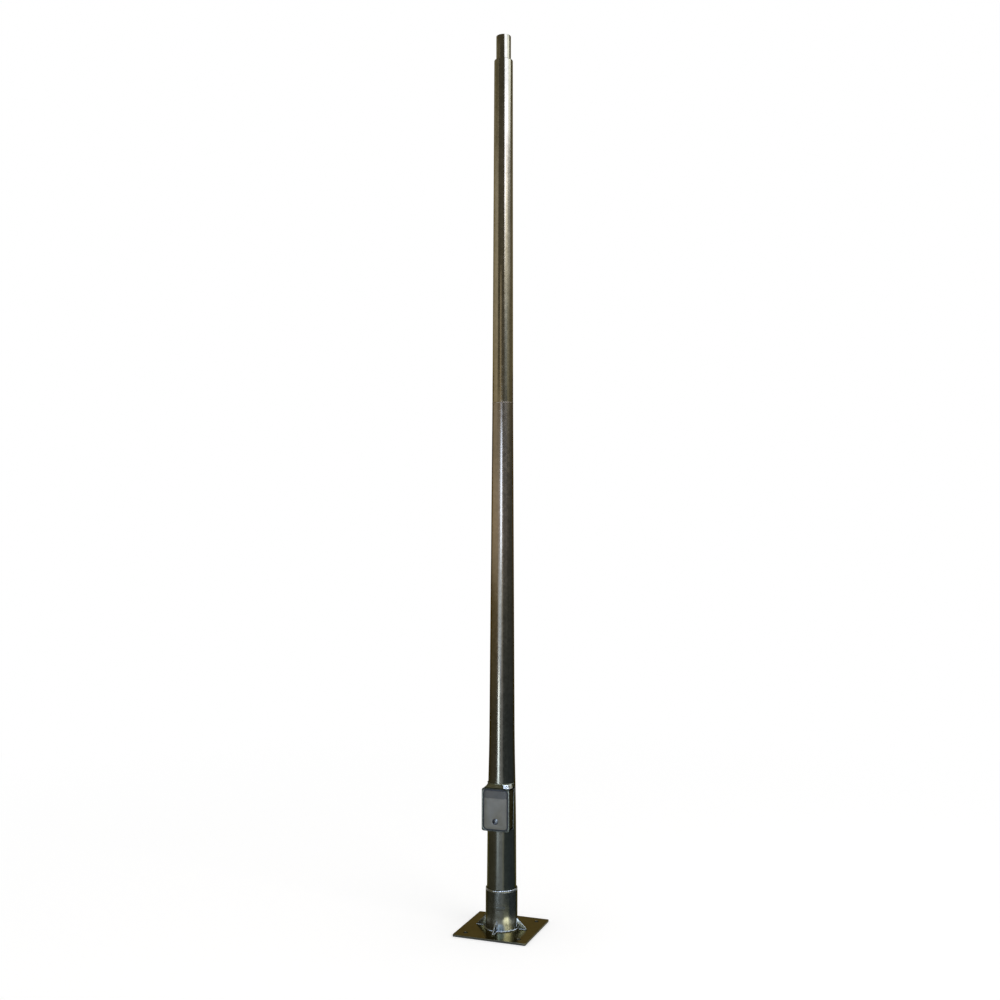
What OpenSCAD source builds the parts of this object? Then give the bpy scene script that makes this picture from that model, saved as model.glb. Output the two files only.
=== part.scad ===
// Conical lighting column: a tapered steel shaft on a square base plate, with a
// gusseted collar, a spigot for a lantern and a small service door near the foot.
// The origin is at the middle of the base plate's underside, +Z is up, and the
// door faces -Y.

/* [Shaft] */
// Height of the shaft's shoulder above the ground
shaft_h = 3500; // [2600:50:5000]
// Height of the butt joint between the lower and the upper shaft
joint_h = 2100; // [1200:50:2400]
// Outer diameter at the shoulder
top_d = 76; // [68:0.5:100]
// Outer diameter at the butt joint
joint_d = 84; // [78:0.5:120]
// Outer diameter where the foot begins to swell
body_d = 101; // [92:0.5:130]
// Height where the foot begins to swell, going down
swell_top_h = 810; // [650:10:1000]
// Height where the swelling is complete
swell_low_h = 400; // [200:10:600]
// Growth of the radius over the swelling
swell = 4.2; // [0:0.1:8]
// Wall of the shaft
shaft_wall = 3; // [2:0.5:5]

/* [Spigot] */
// Outer diameter of the spigot
spigot_d = 60; // [42:1:62]
// Height of the spigot above the shoulder
spigot_h = 100; // [60:5:160]
// Wall of the spigot
spigot_wall = 3; // [2:0.5:5]
// Thickness of the ring that closes the shaft and carries the spigot
ring_h = 8; // [4:0.5:15]

/* [Base] */
// Side of the square base plate
plate_w = 300; // [250:5:400]
// Thickness of the base plate
plate_t = 8; // [6:1:25]
// Corner radius of the base plate
plate_corner_r = 4; // [1:0.5:20]
// Distance between neighbouring anchor bolts
bolt_spacing = 220; // [180:5:320]
// Diameter of the anchor bolt holes
bolt_hole_d = 18; // [12:1:30]
// Diameter of the cable hole in the base plate
cable_hole_d = 80; // [40:1:100]
// Height of the collar above the base plate
collar_h = 152; // [80:1:200]
// Wall of the collar
collar_wall = 4; // [3:0.5:8]
// Gap between the shaft and the collar
collar_gap = 0.5; // [0.2:0.1:1]
// Height of the weld on top of the collar
collar_weld_h = 9; // [4:0.5:15]
// Leg of the weld between the collar and the base plate
plate_weld = 6; // [3:0.5:10]

/* [Gussets] */
// Thickness of a gusset
gusset_t = 5; // [4:0.5:12]
// Height of a gusset
gusset_h = 42; // [25:1:90]
// Reach of a gusset out from the collar
gusset_reach = 42; // [22:1:60]
// Width of the blunt ends of a gusset
gusset_nose = 4; // [2:0.5:8]
// Cut at the inner corner of a gusset, which clears the weld
gusset_snipe = 9; // [6:0.5:14]

/* [Label] */
// Width of the blank label on the collar
label_w = 36; // [20:1:60]
// Height of the blank label
label_h = 15; // [8:1:30]
// Thickness of the blank label
label_t = 0.8; // [0.5:0.1:2]
// Height of the label's middle above the ground
label_z = 98; // [80:1:130]
// Turn of the label round the collar, from the door towards +X
label_turn = 16; // [-30:1:60]

/* [Door frame] */
// Width of the door cover
door_w = 94; // [70:1:104]
// Height of the door cover
door_h = 150; // [110:1:240]
// Height of the door's middle above the ground
door_z = 485.5; // [380:0.5:600]
// Corner radius of the door cover
door_r = 12; // [4:0.5:20]
// Distance of the rim's front from the shaft, at the door's middle height
rim_out = 18.6; // [15:0.1:30]
// Thickness of the rim
rim_t = 5; // [3:0.5:8]
// Width of the rim beside the door
rim_side = 6; // [4:0.5:10]
// Width of the rim above and below the door
rim_end = 4; // [3:0.5:8]
// Corner radius of the rim
rim_r = 9; // [3:0.5:14]
// Gap between the door cover and the rim
door_gap = 5; // [4:0.5:8]
// Thickness of the landing plate behind the rim
landing_t = 4; // [2:0.5:6]
// Overlap of the door cover on the landing plate
landing_lap = 3; // [2:0.5:6]
// Thickness of the frame's walls
frame_wall = 3; // [2:0.5:5]
// Distance of the frame's walls outside the rim's opening
frame_step = 2; // [1:0.5:3]
// Distance from the column's axis to the back of the frame's walls
frame_back = 5; // [2:0.5:12]
// Rise of the hood over the frame, to the shaft
hood_rise = 15; // [8:0.5:40]
// Thickness of the hood
hood_t = 3; // [2:0.5:5]
// Thickness of the door gasket
gasket_t = 2.5; // [1.5:0.5:4]

/* [Door] */
// Thickness of the cover's panel
cover_t = 3; // [2:0.5:5]
// Height of the raised field on the cover
field_t = 1.2; // [0.5:0.1:2]
// Margin round the raised field
field_margin = 5; // [3:0.5:10]
// Height of the plain band above the raised field
band_h = 30; // [15:1:50]
// Depth of the stiffening skirt behind the panel
skirt_depth = 10; // [6:0.5:10]
// Wall of the skirt
skirt_wall = 3; // [2:0.5:4]
// Clearance between the skirt and the landing plate
skirt_gap = 5; // [3:0.5:8]
// Clearance between the closed cover and the gasket
seat_gap = 0.3; // [0.1:0.1:1]
// Width of a hook at the top of the cover
hook_w = 14; // [8:1:24]
// Thickness of a hook
hook_t = 3; // [2:0.5:4]
// Length of a hook
hook_h = 22; // [14:1:30]
// Distance of a hook's top above the landing plate's edge
hook_over = 6.5; // [3:0.5:8]
// Distance between the two hooks
hook_spacing = 50; // [30:1:60]

/* [Lock] */
// Height of the lock above the cover's lower edge
lock_up = 30; // [24:0.5:50]
// Outer diameter of the lock cup
cup_d = 24; // [20:0.5:32]
// Wall of the lock cup
cup_wall = 1.5; // [1:0.5:3]
// Thickness of the cup's floor
cup_floor = 3; // [2:0.5:5]
// Diameter of the lock bolt
bolt_d = 8; // [6:0.5:12]
// Height of the triangular key head, point to flat
key_h = 9; // [7:0.5:12]
// Depth of the key head below the cover's front
key_sink = 2.5; // [1:0.5:5]
// Thickness of the bolt's flange inside the cup
flange_t = 2; // [1:0.5:4]
// Diameter of the bolt's flange inside the cup
flange_d = 15; // [12:0.5:18]
// Thickness of the cam
cam_t = 3; // [2:0.5:5]
// Width of the cam
cam_w = 13; // [10:0.5:20]
// Clearance between the engaged cam and the frame's lower wall
cam_clear = 3.5; // [2:0.5:8]
// Width across the flats of the lock nut
nut_af = 13; // [10:0.5:19]
// Thickness of the lock nut
nut_t = 6.5; // [4:0.5:10]
// Running clearance at the lock bolt
run_gap = 0.2; // [0.05:0.05:0.5]
// Clearance between the cam and the cup
cam_gap = 0.3; // [0.1:0.1:1]
// Clearance between the turning cam and the skirt, in depth and at its tip
cam_relief = 3; // [1:0.5:5]

/* [Fits] */
// Gap left where a welded or fixed piece meets a curved face
fit_gap = 0.1; // [0.05:0.05:0.3]

/* [Hidden] */
$fn = 96;

steel = "#6f7068";
bright_steel = "#b4b8ba";
plastic = "#5f615c";
rubber = "#20242a";

// Radius of the plain cone below the butt joint, at height z
function cone_r(z) =
    joint_d / 2 + (body_d - joint_d) / 2 * (joint_h - z) / (joint_h - swell_top_h);
// Share of the swelling that is reached at height z
function swell_share(z) =
    z >= swell_top_h ? 0
    : z <= swell_low_h ? 1
    : (1 + cos(180 * (z - swell_low_h) / (swell_top_h - swell_low_h))) / 2;
// Outer radius of the lower shaft at height z; it is straight inside the collar
function lower_r(z) =
    cone_r(max(z, collar_top_z)) + swell * swell_share(max(z, collar_top_z));

collar_top_z = plate_t + collar_h;
foot_r = lower_r(collar_top_z);
collar_in_r = foot_r + collar_gap;
collar_r = collar_in_r + collar_wall;
ring_z = shaft_h - ring_h;
ring_edge_r = min(2.5, ring_h / 2);
spigot_edge_r = spigot_wall / 3;
spigot_bore_r = spigot_d / 2 - spigot_wall;

// Heights of the lower shaft's rings, from the plate up to the butt joint
swell_steps = 12;
lower_heights = concat(
    [plate_t, collar_top_z],
    [for (i = [0 : swell_steps])
        swell_low_h + (swell_top_h - swell_low_h) * i / swell_steps],
    [joint_h]);

// Door and frame: half sizes, and distances in front of the column's axis
open_w = door_w + 2 * door_gap;
open_h = door_h + 2 * door_gap;
open_r = door_r + door_gap;
box_w = open_w + 2 * frame_step;
box_h = open_h + 2 * frame_step;
box_r = 4;
rim_w = open_w + 2 * rim_side;
rim_h = open_h + 2 * rim_end;
land_w = door_w - 2 * landing_lap;
land_h = door_h - 2 * landing_lap;
land_r = door_r - landing_lap;
rim_front = lower_r(door_z) + rim_out;
rim_back = rim_front - rim_t;
landing_back = rim_back - landing_t;
gasket_front = rim_back + gasket_t;
gasket_side_gap = 0.5;
cover_back = gasket_front + seat_gap;
cover_front = cover_back + cover_t;
field_front = cover_front + field_t;
skirt_back = cover_back - skirt_depth;
skirt_w = land_w - 2 * skirt_gap;
skirt_h = land_h - 2 * skirt_gap;
skirt_r = max(land_r - skirt_gap, skirt_wall + 0.5);
frame_in_w = box_w - 2 * frame_wall;
frame_in_h = box_h - 2 * frame_wall;
frame_cut_x = land_w / 2 - land_r;
cut_w = land_w + 4;
hood_base_z = door_z + box_h / 2;
hood_top_z = hood_base_z + hood_rise;

// Lock: heights, and distances in front of the column's axis
lock_z = door_z - door_h / 2 + lock_up;
cup_back = skirt_back + 1.2;
cam_front = cup_back - cam_gap;
cam_back = cam_front - cam_t;
nut_back = cam_back - nut_t;
bolt_tail = nut_back - 2;
frame_floor_z = door_z - frame_in_h / 2;
cam_tip = lock_z - frame_floor_z - cam_clear;
cam_reach = norm([cam_tip, cam_w / 2]);
key_front = field_front - key_sink;
flange_front = cup_back + cup_floor + run_gap + flange_t;

// A flat ring between two radii, standing on z = 0
module tube(outer_r, inner_r, h) {
    difference() {
        cylinder(h = h, r = outer_r);
        translate([0, 0, -1])
            cylinder(h = h + 2, r = inner_r);
    }
}

// A rectangle about the origin with round corners
module rounded(w, h, r) {
    square([w - 2 * r, h], center = true);
    square([w, h - 2 * r], center = true);
    for (x = [-1, 1], y = [-1, 1])
        translate([x * (w / 2 - r), y * (h / 2 - r)])
            circle(r);
}

// Stands a door outline upright at the door's height, between two distances
// in front of the column's axis
module upright(front, back) {
    translate([0, -back, door_z])
        rotate([90, 0, 0])
            linear_extrude(front - back)
                children();
}

// A round bar along Y on the lock's axis, between two distances in front
module lock_round(r, front, back) {
    translate([0, -back, lock_z])
        rotate([90, 0, 0])
            cylinder(h = front - back, r = r);
}

// The solid inside the lower shaft's outer surface, thinned by inset
module lower_solid(inset = 0, over = 0) {
    rotate_extrude()
        polygon(concat(
            [[0, joint_h + over], [0, plate_t - over]],
            [[lower_r(plate_t) - inset, plate_t - over]],
            [for (z = lower_heights) [lower_r(z) - inset, z]],
            [[lower_r(joint_h) - inset, joint_h + over]]));
}

module base_plate() {
    color(steel)
        difference() {
            linear_extrude(plate_t)
                rounded(plate_w, plate_w, plate_corner_r);
            translate([0, 0, -1])
                cylinder(h = plate_t + 2, d = cable_hole_d);
            for (x = [-1, 1], y = [-1, 1])
                translate([x * bolt_spacing / 2, y * bolt_spacing / 2, -1])
                    cylinder(h = plate_t + 2, d = bolt_hole_d);
        }
}

module base_collar() {
    color(steel)
        translate([0, 0, plate_t])
            tube(collar_r, collar_in_r, collar_h);
}

module plate_weld() {
    color(bright_steel)
        rotate_extrude()
            polygon([
                [collar_r + fit_gap, plate_t],
                [collar_r + plate_weld, plate_t],
                [collar_r + fit_gap, plate_t + plate_weld]]);
}

module collar_weld() {
    weld_top_z = collar_top_z + collar_weld_h;
    color(bright_steel)
        rotate_extrude()
            polygon([
                [foot_r + fit_gap, collar_top_z],
                [collar_r, collar_top_z],
                [lower_r(weld_top_z) + fit_gap + 1, weld_top_z],
                [lower_r(weld_top_z) + fit_gap, weld_top_z]]);
}

// One gusset, standing on the plate and pointing along +X before it is turned
module gusset(turn) {
    reach_r = collar_r + gusset_reach;
    color(steel)
        rotate([0, 0, turn])
            difference() {
                translate([0, gusset_t / 2, plate_t])
                    rotate([90, 0, 0])
                        linear_extrude(gusset_t)
                            polygon([
                                [collar_r - 1, gusset_snipe],
                                [collar_r, gusset_snipe],
                                [collar_r + gusset_snipe, 0],
                                [reach_r, 0],
                                [reach_r, gusset_nose],
                                [collar_r + gusset_nose, gusset_h],
                                [collar_r - 1, gusset_h]]);
                cylinder(h = plate_t + gusset_h + 1, r = collar_r + fit_gap);
            }
}

module gusset_front() {
    gusset(-90);
}

module gusset_right() {
    gusset(0);
}

module gusset_back() {
    gusset(90);
}

module gusset_left() {
    gusset(180);
}

module label_blank() {
    color(bright_steel)
        intersection() {
            translate([0, 0, label_z - label_h / 2])
                tube(collar_r + fit_gap + label_t, collar_r + fit_gap, label_h);
            rotate([0, 0, label_turn])
                translate([-label_w / 2, -2 * collar_r, label_z - label_h])
                    cube([label_w, 2 * collar_r, 2 * label_h]);
        }
}

module lower_shaft() {
    color(steel)
        difference() {
            lower_solid();
            lower_solid(inset = shaft_wall, over = 1);
            upright(rim_front, 0)
                rounded(cut_w, frame_in_h, land_r);
        }
}

module upper_shaft() {
    run = ring_z - joint_h;
    inner = [joint_d / 2 - shaft_wall, top_d / 2 - shaft_wall];
    color(steel)
        translate([0, 0, joint_h])
            rotate_extrude()
                polygon([
                    [inner[0], 0],
                    [joint_d / 2, 0],
                    [top_d / 2, run],
                    [inner[1], run]]);
}

module top_ring() {
    edge = top_d / 2 - ring_edge_r;
    color(steel)
        translate([0, 0, ring_z])
            rotate_extrude()
                polygon(concat(
                    [[spigot_bore_r, 0], [top_d / 2, 0]],
                    [for (a = [0 : 15 : 90])
                        [edge + ring_edge_r * cos(a),
                         ring_h - ring_edge_r + ring_edge_r * sin(a)]],
                    [[spigot_bore_r, ring_h]]));
}

module spigot() {
    edge = spigot_d / 2 - spigot_edge_r;
    color(steel)
        translate([0, 0, shaft_h])
            rotate_extrude()
                polygon(concat(
                    [[spigot_bore_r, 0], [spigot_d / 2, 0]],
                    [for (a = [0 : 15 : 90])
                        [edge + spigot_edge_r * cos(a),
                         spigot_h - spigot_edge_r + spigot_edge_r * sin(a)]],
                    [[spigot_bore_r, spigot_h]]));
}

// The whole welded frame: a rim, a landing plate behind it, two walls and a sill.
// It is open at the top, under the hood.
module frame_form() {
    difference() {
        union() {
            upright(rim_front, rim_back)
                rounded(rim_w, rim_h, rim_r);
            upright(rim_back, frame_back)
                rounded(box_w, box_h, box_r);
        }
        upright(rim_front + 1, rim_back)
            rounded(open_w, open_h, open_r);
        upright(rim_front + 1, landing_back - 1)
            rounded(land_w, land_h, land_r);
        upright(landing_back, frame_back + frame_wall) {
            square([frame_in_w, frame_in_h], center = true);
            translate([0, box_h / 4])
                square([frame_in_w, box_h / 2 + 2], center = true);
        }
        lower_solid(inset = -fit_gap);
    }
}

// The stretch of the frame between two sideways distances, and above or below
// a height; the four stretches meet face to face
module frame_stretch(from_x, to_x, from_z, to_z) {
    color(steel)
        intersection() {
            frame_form();
            translate([from_x, -rim_front - 1, from_z])
                cube([to_x - from_x, rim_front + 1, to_z - from_z]);
        }
}

module frame_left() {
    frame_stretch(-rim_w, -frame_cut_x, 0, 2 * door_z);
}

module frame_right() {
    frame_stretch(frame_cut_x, rim_w, 0, 2 * door_z);
}

module frame_head() {
    frame_stretch(-frame_cut_x, frame_cut_x, door_z, 2 * door_z);
}

module frame_sill() {
    frame_stretch(-frame_cut_x, frame_cut_x, 0, door_z);
}

// The hood's form above the frame, drawn in by t on every side but the bottom
module hood_form(t) {
    hull() {
        translate([-box_w / 2 + t, -rim_back + t, hood_base_z - t])
            cube([box_w - 2 * t, rim_back - frame_back - 2 * t, 0.5 + t]);
        intersection() {
            translate([0, 0, hood_top_z - t - 1])
                cylinder(h = 1, r = lower_r(hood_top_z) + 1, $fn = 64);
            translate([-box_w, -rim_front, 0])
                cube([2 * box_w, rim_front - frame_back - t, 2 * hood_top_z]);
        }
    }
}

module door_hood() {
    color(steel)
        difference() {
            hood_form(0);
            hood_form(hood_t);
            lower_solid(inset = -fit_gap);
        }
}

module door_gasket() {
    color(rubber)
        difference() {
            upright(gasket_front, rim_back)
                rounded(open_w - 2 * gasket_side_gap, open_h - 2 * gasket_side_gap,
                        open_r - gasket_side_gap);
            upright(gasket_front + 1, rim_back - 1)
                rounded(land_w, land_h, land_r);
        }
}

module door_cover() {
    field_h = door_h - band_h - field_margin;
    field_mid = (band_h - field_margin) / -2;
    color(plastic)
        difference() {
            union() {
                upright(cover_front, cover_back)
                    rounded(door_w, door_h, door_r);
                upright(field_front, cover_front)
                    translate([0, field_mid])
                        rounded(door_w - 2 * field_margin, field_h,
                                door_r - field_margin);
                upright(cover_back, skirt_back)
                    difference() {
                        rounded(skirt_w, skirt_h, skirt_r);
                        square([skirt_w - 2 * skirt_wall, skirt_h - 2 * skirt_wall],
                               center = true);
                    }
            }
            lock_round(cup_d / 2 + fit_gap, field_front + 1, skirt_back - 1);
            lock_round(cam_reach + cam_relief, cam_front + cam_relief, skirt_back - 1);
        }
}

// A hook on the back of the skirt, which hangs the cover behind the landing plate
module hook(x) {
    hook_top_z = door_z + land_h / 2 + hook_over;
    color(bright_steel)
        translate([x - hook_w / 2, -skirt_back, hook_top_z - hook_h])
            cube([hook_w, hook_t, hook_h]);
}

module hook_left() {
    hook(-hook_spacing / 2);
}

module hook_right() {
    hook(hook_spacing / 2);
}

module lock_cup() {
    color(rubber)
        difference() {
            lock_round(cup_d / 2, field_front, cup_back);
            lock_round(cup_d / 2 - cup_wall, field_front + 1, cup_back + cup_floor);
            lock_round(bolt_d / 2 + run_gap, field_front, cup_back - 1);
        }
}

module lock_bolt() {
    color(bright_steel) {
        lock_round(bolt_d / 2, flange_front, bolt_tail);
        lock_round(flange_d / 2, flange_front, flange_front - flange_t);
        translate([0, -flange_front, lock_z])
            rotate([90, 0, 0])
                rotate([0, 0, 30])
                    cylinder(h = key_front - flange_front, r = key_h * 2 / 3, $fn = 3);
    }
}

module lock_cam() {
    color(bright_steel)
        difference() {
            union() {
                lock_round(cam_w / 2, cam_front, cam_back);
                translate([0, -cam_front, lock_z - cam_w / 2])
                    cube([cam_tip, cam_t, cam_w]);
            }
            lock_round(bolt_d / 2 + fit_gap, cam_front + 1, cam_back - 1);
        }
}

module lock_nut() {
    color(bright_steel)
        difference() {
            translate([0, -nut_back, lock_z])
                rotate([90, 0, 0])
                    cylinder(h = nut_t, d = nut_af / cos(30), $fn = 6);
            lock_round(bolt_d / 2 + fit_gap, cam_back + 1, nut_back - 1);
        }
}

base_plate();
base_collar();
plate_weld();
collar_weld();
gusset_front();
gusset_right();
gusset_back();
gusset_left();
label_blank();
lower_shaft();
upper_shaft();
top_ring();
spigot();
frame_left();
frame_right();
frame_head();
frame_sill();
door_hood();
door_gasket();
door_cover();
hook_left();
hook_right();
lock_cup();
lock_bolt();
lock_cam();
lock_nut();
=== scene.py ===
# Looks of the conical lighting column: a galvanised tapered shaft on a gusseted
# base plate, with a spigot on top and a small service door near the foot.
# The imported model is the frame; every piece here stands where its CAD part does.
import math

import bmesh
import bpy
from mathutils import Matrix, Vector


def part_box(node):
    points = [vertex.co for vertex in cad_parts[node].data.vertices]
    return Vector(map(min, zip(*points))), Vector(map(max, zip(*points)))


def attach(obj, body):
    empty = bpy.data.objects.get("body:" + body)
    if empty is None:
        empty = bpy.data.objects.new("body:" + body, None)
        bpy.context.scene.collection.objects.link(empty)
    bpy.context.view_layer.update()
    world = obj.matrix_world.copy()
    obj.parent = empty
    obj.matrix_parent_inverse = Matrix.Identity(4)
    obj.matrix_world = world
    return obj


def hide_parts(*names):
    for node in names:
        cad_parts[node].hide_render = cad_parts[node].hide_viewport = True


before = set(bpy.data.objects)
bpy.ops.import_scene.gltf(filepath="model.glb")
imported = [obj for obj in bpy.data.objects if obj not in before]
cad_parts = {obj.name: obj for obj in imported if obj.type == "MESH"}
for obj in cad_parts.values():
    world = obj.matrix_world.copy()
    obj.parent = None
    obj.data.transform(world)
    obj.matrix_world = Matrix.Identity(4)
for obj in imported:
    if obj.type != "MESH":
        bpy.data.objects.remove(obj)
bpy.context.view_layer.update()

MM = 0.001
TAU = 2 * math.pi


# ---------------------------------------------------------------- sizes, metres

PLATE_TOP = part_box("base_plate")[1].z
COLLAR_R, _, COLLAR_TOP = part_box("base_collar")[1]
JOINT_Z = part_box("upper_shaft")[0].z
JOINT_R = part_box("upper_shaft")[1].x
RING_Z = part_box("top_ring")[0].z
SHOULDER_R, _, SHOULDER_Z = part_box("top_ring")[1]
SPIGOT_R, _, SPIGOT_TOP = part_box("spigot")[1]
SHAFT_WALL, COLLAR_WALL, SPIGOT_WALL = 3 * MM, 4 * MM, 3 * MM
# The lower shaft is a cone that swells below SWELL_TOP, to its full swell at SWELL_LOW
SWELL, SWELL_TOP, SWELL_LOW = 4.2 * MM, 810 * MM, 400 * MM
CONE_R_AT_SWELL = 50.5 * MM
# Sides of a round part, and steps along a corner and a side of a door outline
SIDES, ARC_STEPS, SIDE_STEPS = 160, 8, 24


def cone_r(z):
    """Radius of the plain cone of the lower shaft at height z."""
    grow = (CONE_R_AT_SWELL - JOINT_R) / (JOINT_Z - SWELL_TOP)
    return JOINT_R + grow * (JOINT_Z - z)


def shaft_r(z):
    """Outer radius of the lower shaft at height z, swelling included."""
    z = max(z, COLLAR_TOP)
    t = min(max((z - SWELL_LOW) / (SWELL_TOP - SWELL_LOW), 0), 1)
    return cone_r(z) + SWELL * (1 + math.cos(math.pi * t)) / 2


# Door frame, in the plane of the door
RIM_LOW, RIM_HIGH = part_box("frame_left")
RIM_FRONT = RIM_LOW.y
DOOR_Z = (RIM_LOW.z + RIM_HIGH.z) / 2
RIM_BACK = RIM_FRONT + 5 * MM
LANDING_BACK = RIM_BACK + 4 * MM
COVER_LOW, COVER_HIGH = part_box("door_cover")
COVER_FRONT = COVER_LOW.y
LOCK_Z = (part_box("lock_cup")[0].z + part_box("lock_cup")[1].z) / 2
HOOD_LOW, HOOD_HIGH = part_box("door_hood")


# ---------------------------------------------------------------- materials

def rgb(code):
    """An sRGB hex colour as a linear one."""
    parts = [int(code[i:i + 2], 16) / 255 for i in (0, 2, 4)]
    return tuple(c / 12.92 if c <= 0.04045 else ((c + 0.055) / 1.055) ** 2.4
                 for c in parts) + (1.0,)


def feed(tree, node, links):
    """Feeds a node's inputs, each from a socket or from another node's first output."""
    for key, source in links.items():
        tree.links.new(getattr(source, "outputs", [source])[0], node.inputs[key])


def add(tree, kind, settings=None, links=None, stops=()):
    """Adds a node; settings are its properties or input values, links feed its inputs
    and stops are the (position, hex) colours of a ramp."""
    node = tree.nodes.new(kind)
    for key, value in (settings or {}).items():
        if isinstance(key, int) or key in node.inputs:
            node.inputs[key].default_value = value
        else:
            setattr(node, key, value)
    feed(tree, node, links or {})
    if stops:
        elements = node.color_ramp.elements
        while len(elements) < len(stops):
            elements.new(0.5)
        for element, (position, code) in zip(elements, stops):
            element.position = position
            element.color = rgb(code)
    return node


def new_material(name):
    """A material with a principled shader, its tree and its object coordinates."""
    material = bpy.data.materials.new(name)
    material.use_nodes = True
    tree = material.node_tree
    tree.nodes.clear()
    shader = add(tree, "ShaderNodeBsdfPrincipled")
    add(tree, "ShaderNodeOutputMaterial", links={"Surface": shader})
    place = add(tree, "ShaderNodeTexCoord").outputs["Object"]
    return material, tree, shader, place


def galvanised_steel(name, tones, height, rough, spangle_mm, patina, scratches,
                     rim_tint="8a8474", painted_glints=()):
    """Hot-dip galvanised steel: a zinc skin with soft spangle, long draw streaks,
    a few drips and hairline scratches. tones are its colours by height, which on the
    lower shaft, collar, plate and door frame carry painted shade and painted reflections;
    rim_tint is how far its dull oxide lets a grazing reflection through, and the last
    argument lists painted highlights: spots (place, radius, colour) painted pale where a
    glint or reflection shows."""
    material, tree, shader, place = new_material(name)
    shader.inputs["Metallic"].default_value = 1.0
    shader.inputs["Specular Tint"].default_value = rgb(rim_tint)
    split = add(tree, "ShaderNodeSeparateXYZ", links={"Vector": place})
    low, high = height
    up = add(tree, "ShaderNodeMapRange",
             {"From Min": low, "From Max": high}, {"Value": split.outputs["Z"]})
    tone = add(tree, "ShaderNodeValToRGB", links={"Fac": up}, stops=tones)
    # Painted highlights: each spot is blended pale into the tone where a glint or reflection is
    # painted
    for centre, radius, colour in painted_glints:
        away = add(tree, "ShaderNodeVectorMath", {"operation": "DISTANCE", 1: centre},
                   {0: place})
        here = add(tree, "ShaderNodeMapRange",
                   {"interpolation_type": "SMOOTHSTEP", "From Min": 0.45 * radius,
                    "From Max": radius, "To Min": 1.0, "To Max": 0.0},
                   {"Value": away.outputs["Value"]})
        tone = add(tree, "ShaderNodeMix", {"data_type": "RGBA", 7: rgb(colour)},
                   {0: here, 6: tone}).outputs[2]
    # Zinc spangle: crystals a centimetre or so across, each a little lighter or darker
    cells = add(tree, "ShaderNodeTexVoronoi",
                {"Scale": 1 / (spangle_mm * MM)}, {"Vector": place})
    grain = add(tree, "ShaderNodeSeparateColor", links={"Color": cells.outputs["Color"]})
    # Streaks that run along the shaft, from drawing and from the zinc running off
    drawn = add(tree, "ShaderNodeMapping", {"Scale": (150, 150, 4)}, {"Vector": place})
    streaks = add(tree, "ShaderNodeTexNoise", {"Scale": 1.0, "Detail": 5.0, "Roughness": 0.6},
                  {"Vector": drawn})
    blotches = add(tree, "ShaderNodeTexNoise",
                   {"Scale": 9.0, "Detail": 4.0, "Roughness": 0.55}, {"Vector": place})
    shade = add(tree, "ShaderNodeMath", {"operation": "MULTIPLY_ADD", 1: 0.22, 2: 0.0},
                {0: grain.outputs["Red"]})
    shade = add(tree, "ShaderNodeMath", {"operation": "MULTIPLY_ADD", 1: 0.55},
                {0: streaks, 2: shade})
    shade = add(tree, "ShaderNodeMath", {"operation": "MULTIPLY_ADD", 1: 0.45},
                {0: blotches, 2: shade})
    light = add(tree, "ShaderNodeMapRange",
                {"From Min": 0.35, "From Max": 0.85, "To Min": 1 - patina,
                 "To Max": 1 + patina}, {"Value": shade})
    lit = add(tree, "ShaderNodeVectorMath", {"operation": "SCALE"}, {0: tone, "Scale": light})
    gloss = add(tree, "ShaderNodeMapRange",
                {"From Min": 0.3, "From Max": 0.8, "To Min": rough[0], "To Max": rough[1]},
                {"Value": shade})
    # Hairline scratches: thin slanting lines where a stretched noise crosses a level
    slanted = add(tree, "ShaderNodeMapping",
                  {"Scale": (95, 95, 22), "Rotation": (0.5, 0.45, 0.2)}, {"Vector": place})
    lines = add(tree, "ShaderNodeTexNoise", {"Scale": 1.0, "Detail": 1.0}, {"Vector": slanted})
    near = add(tree, "ShaderNodeMath", {"operation": "SUBTRACT", 1: 0.5}, {0: lines})
    near = add(tree, "ShaderNodeMath", {"operation": "ABSOLUTE"}, {0: near})
    line = add(tree, "ShaderNodeMapRange",
               {"From Max": 0.006, "To Min": 1.0, "To Max": 0.0},
               {"Value": near})
    spread = add(tree, "ShaderNodeMapRange",
                 {"From Min": 0.5, "From Max": 0.62}, {"Value": blotches})
    line = add(tree, "ShaderNodeMath", {"operation": "MULTIPLY"}, {0: line, 1: spread})
    # Relief: the zinc's slow waves, the crystals' edges and the scratches
    slow = add(tree, "ShaderNodeMapping", {"Scale": (38, 38, 13)}, {"Vector": place})
    waves = add(tree, "ShaderNodeTexNoise", {"Scale": 1.0, "Detail": 3.0, "Roughness": 0.5},
                {"Vector": slow})
    relief = add(tree, "ShaderNodeMath", {"operation": "MULTIPLY_ADD", 1: 0.10},
                 {0: grain.outputs["Green"], 2: waves})
    relief = add(tree, "ShaderNodeMath", {"operation": "MULTIPLY_ADD", 1: -scratches},
                 {0: line, 2: relief})
    bump = add(tree, "ShaderNodeBump", {"Strength": 0.16, "Distance": 0.5 * MM},
               {"Height": relief})
    feed(tree, shader, {"Base Color": lit, "Roughness": gloss, "Normal": bump})
    return material


# Upper shaft: smooth drawn tube, warm olive zinc
zinc_upper = galvanised_steel(
    "hot_dip_galvanised_upper_tube",
    [(0.0, "75694f"), (0.2, "7b7058"), (0.7, "7b725e"), (1.0, "6c6654")],
    (JOINT_Z, SHOULDER_Z), (0.09, 0.155), 9, 0.22, 0.5, "a09a88")
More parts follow.
